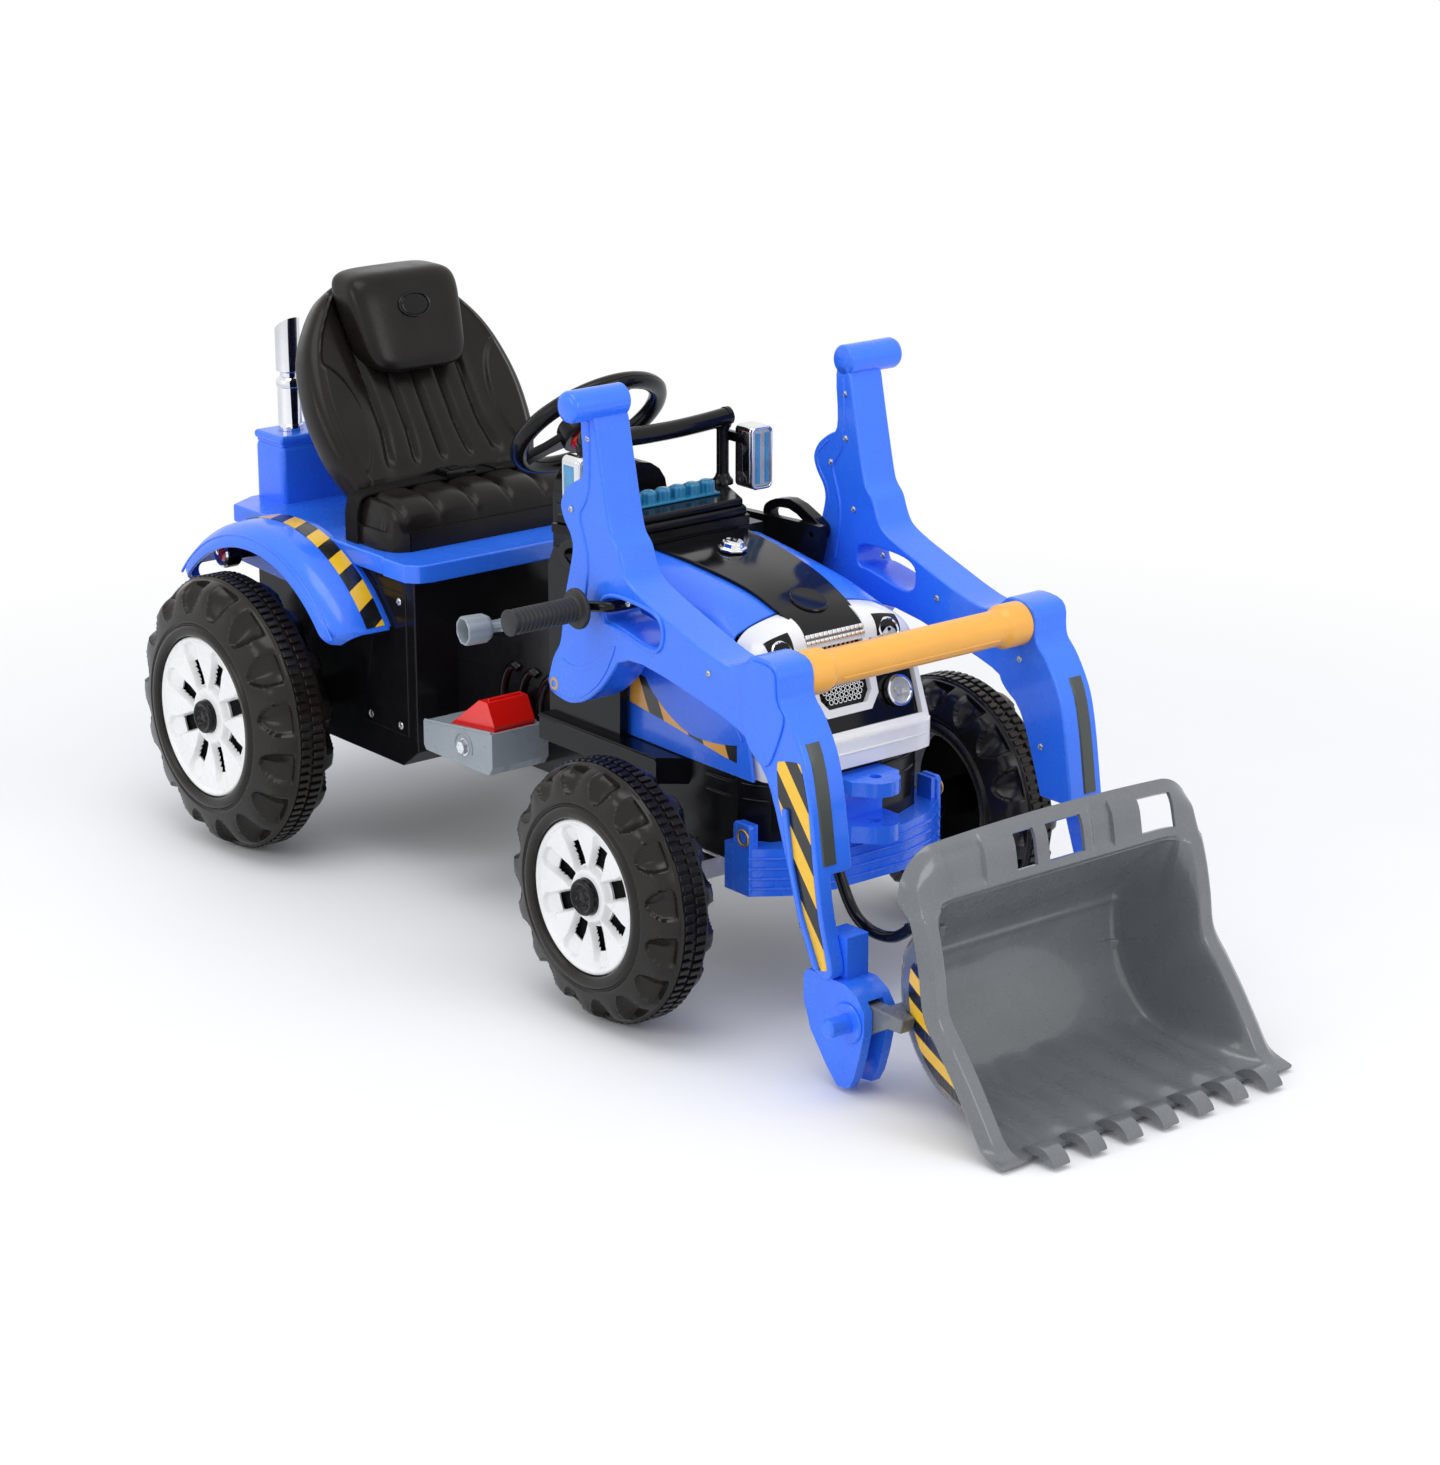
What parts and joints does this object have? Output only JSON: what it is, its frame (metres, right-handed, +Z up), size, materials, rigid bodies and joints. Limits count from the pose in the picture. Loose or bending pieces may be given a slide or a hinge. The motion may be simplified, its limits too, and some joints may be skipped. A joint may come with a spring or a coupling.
{
  "type": "ride-on front loader",
  "caption": "Child's pedal-switch ride-on front loader with hand-lifted arms, tilting bucket, steered front wheels, fluted seat and fenders.",
  "frame": {"origin": "on the ground under the middle of the whole loader", "axes": "+X forward to the bucket, +Y to the driver's left, +Z up"},
  "size_m": [1.3375, 0.555, 0.605],
  "materials": {
    "blue_plastic": "gloss",
    "black_plastic": "gloss",
    "seat_plastic": "satin",
    "tyre": "satin",
    "rim": "gloss",
    "bucket_grey": "gloss",
    "box_grey": "satin",
    "bar_yellow": "satin",
    "red_plastic": "gloss",
    "white_plastic": "gloss",
    "chromed_plastic": "polished",
    "steel": "satin",
    "brass": "satin",
    "webbing": "woven",
    "grip_rubber": "matt",
    "battery_case": "matt"
  },
  "bodies": {
    "frame": {"chassis_tub": "black_plastic", "mid_body": "black_plastic", "dash_block": "black_plastic", "dash_knobs": "blue_plastic", "roll_hoop": "black_plastic", "hoop_lamp_right": "chromed_plastic", "hoop_lamp_left": "chromed_plastic", "rear_body": "black_plastic", "rear_axle": "steel", "motor_gearbox": "battery_case", "battery": "battery_case", "rear_deck": "blue_plastic", "seat_base": "seat_plastic", "seat_back": "seat_plastic", "headrest": "seat_plastic", "seat_belt": "webbing", "exhaust_stack": "chromed_plastic", "pedal_box": "box_grey", "foot_rest": "box_grey", "front_axle_beam": "steel", "hood": "blue_plastic", "hood_stripe": "black_plastic", "front_fascia": "white_plastic", "grille_panel": "black_plastic", "headlamp_right": "chromed_plastic", "headlamp_left": "chromed_plastic", "front_skirt": "blue_plastic", "lift_bolt_right": "brass", "lift_bolt_left": "brass"},
    "steering": {"steering_wheel": "black_plastic", "wheel_hub": "red_plastic", "steering_column": "steel"},
    "horn": {"horn_button": "black_plastic"},
    "tie_rod": {"tie_rod": "steel"},
    "knuckle_right": {"knuckle_right": "steel"},
    "knuckle_left": {"knuckle_left": "steel"},
    "loader": {"loader_arm_right": "blue_plastic", "loader_arm_left": "blue_plastic", "cross_bar": "bar_yellow", "bucket_bracket_right": "blue_plastic", "bucket_bracket_left": "blue_plastic"},
    "bucket": {"bucket": "bucket_grey"},
    "tilt_linkage": {"tilt_rod": "black_plastic", "tilt_grip": "grip_rubber"},
    "pedal": {"pedal": "red_plastic"},
    "gear_lever": {"gear_lever": "box_grey"},
    "hook_right": {"hook_right": "black_plastic"},
    "hook_left": {"hook_left": "black_plastic"},
    "wheel_front_right": {"tyre_front_right": "tyre", "rim_front_right": "rim", "hub_cap_front_right": "black_plastic"},
    "wheel_front_left": {"tyre_front_left": "tyre", "rim_front_left": "rim", "hub_cap_front_left": "black_plastic"},
    "wheel_rear_right": {"tyre_rear_right": "tyre", "rim_rear_right": "rim", "hub_cap_rear_right": "black_plastic"},
    "wheel_rear_left": {"tyre_rear_left": "tyre", "rim_rear_left": "rim", "hub_cap_rear_left": "black_plastic"}
  },
  "joints": [
    {"name": "steering_turn", "type": "hinge", "parent": "frame", "child": "steering", "pos_m": [-0.18, 0, 0.493], "axis": [-0.682, 0, 0.7314], "range_deg": [-35, 35]},
    {"name": "horn_press", "type": "slide", "parent": "steering", "child": "horn", "axis": [0.682, 0, -0.7314], "range_m": [0, 0.002], "stiffness_N_per_m": 250, "springref_m": -0.001},
    {"name": "knuckle_right_turn", "type": "hinge", "parent": "frame", "child": "knuckle_right", "pos_m": [0.1425, -0.153, 0.1286], "axis": [0, 0, 1], "range_deg": [-17.5, 17.5]},
    {"name": "knuckle_left_turn", "type": "hinge", "parent": "frame", "child": "knuckle_left", "pos_m": [0.1425, 0.153, 0.1286], "axis": [0, 0, 1], "range_deg": [-17.5, 17.5]},
    {"name": "tie_rod_slide", "type": "slide", "parent": "frame", "child": "tie_rod", "axis": [0, 1, 0], "range_m": [-0.0138, 0.0138]},
    {"name": "loader_lift", "type": "hinge", "parent": "frame", "child": "loader", "pos_m": [0, 0, 0.292], "axis": [0, -1, 0], "range_deg": [0, 30]},
    {"name": "bucket_tilt", "type": "hinge", "parent": "loader", "child": "bucket", "pos_m": [0.428, 0, 0.07], "axis": [0, 1, 0], "range_deg": [0, 35]},
    {"name": "tilt_rod_pin", "type": "hinge", "parent": "bucket", "child": "tilt_linkage", "pos_m": [0.456, -0.122, 0.158], "axis": [0, 1, 0], "range_deg": [-31, 0.5]},
    {"name": "pedal_press", "type": "hinge", "parent": "frame", "child": "pedal", "pos_m": [-0.22, -0.1225, 0.184], "axis": [0, 1, 0], "range_deg": [0, 6], "stiffness_Nm_per_rad": 1, "springref_deg": -5.73},
    {"name": "gear_lever_shift", "type": "hinge", "parent": "frame", "child": "gear_lever", "pos_m": [-0.099, -0.094, 0.324], "axis": [0, 0, 1], "range_deg": [-12, 12]},
    {"name": "hook_right_swing", "type": "hinge", "parent": "frame", "child": "hook_right", "pos_m": [0.036, -0.124, 0.4], "axis": [0, -1, 0], "range_deg": [0, 60]},
    {"name": "hook_left_swing", "type": "hinge", "parent": "frame", "child": "hook_left", "pos_m": [0.036, 0.124, 0.4], "axis": [0, -1, 0], "range_deg": [0, 60]},
    {"name": "wheel_front_right_spin", "type": "hinge", "parent": "knuckle_right", "child": "wheel_front_right", "pos_m": [0.1425, -0.221, 0.1286], "axis": [0, 1, 0], "continuous": true},
    {"name": "wheel_front_left_spin", "type": "hinge", "parent": "knuckle_left", "child": "wheel_front_left", "pos_m": [0.1425, 0.221, 0.1286], "axis": [0, 1, 0], "continuous": true},
    {"name": "wheel_rear_right_spin", "type": "hinge", "parent": "frame", "child": "wheel_rear_right", "pos_m": [-0.5155, -0.2265, 0.15], "axis": [0, 1, 0], "continuous": true},
    {"name": "wheel_rear_left_spin", "type": "hinge", "parent": "frame", "child": "wheel_rear_left", "pos_m": [-0.5155, 0.2265, 0.15], "axis": [0, 1, 0], "continuous": true}
  ],
  "couplings": [
    {"joint": "knuckle_right_turn", "follows": "steering_turn", "ratio": 0.5},
    {"joint": "knuckle_left_turn", "follows": "steering_turn", "ratio": 0.5},
    {"joint": "tie_rod_slide", "follows": "steering_turn", "m_per_rad": -0.0225},
    {"joint": "tilt_rod_pin", "follows": "bucket_tilt", "ratio": -0.878}
  ]
}
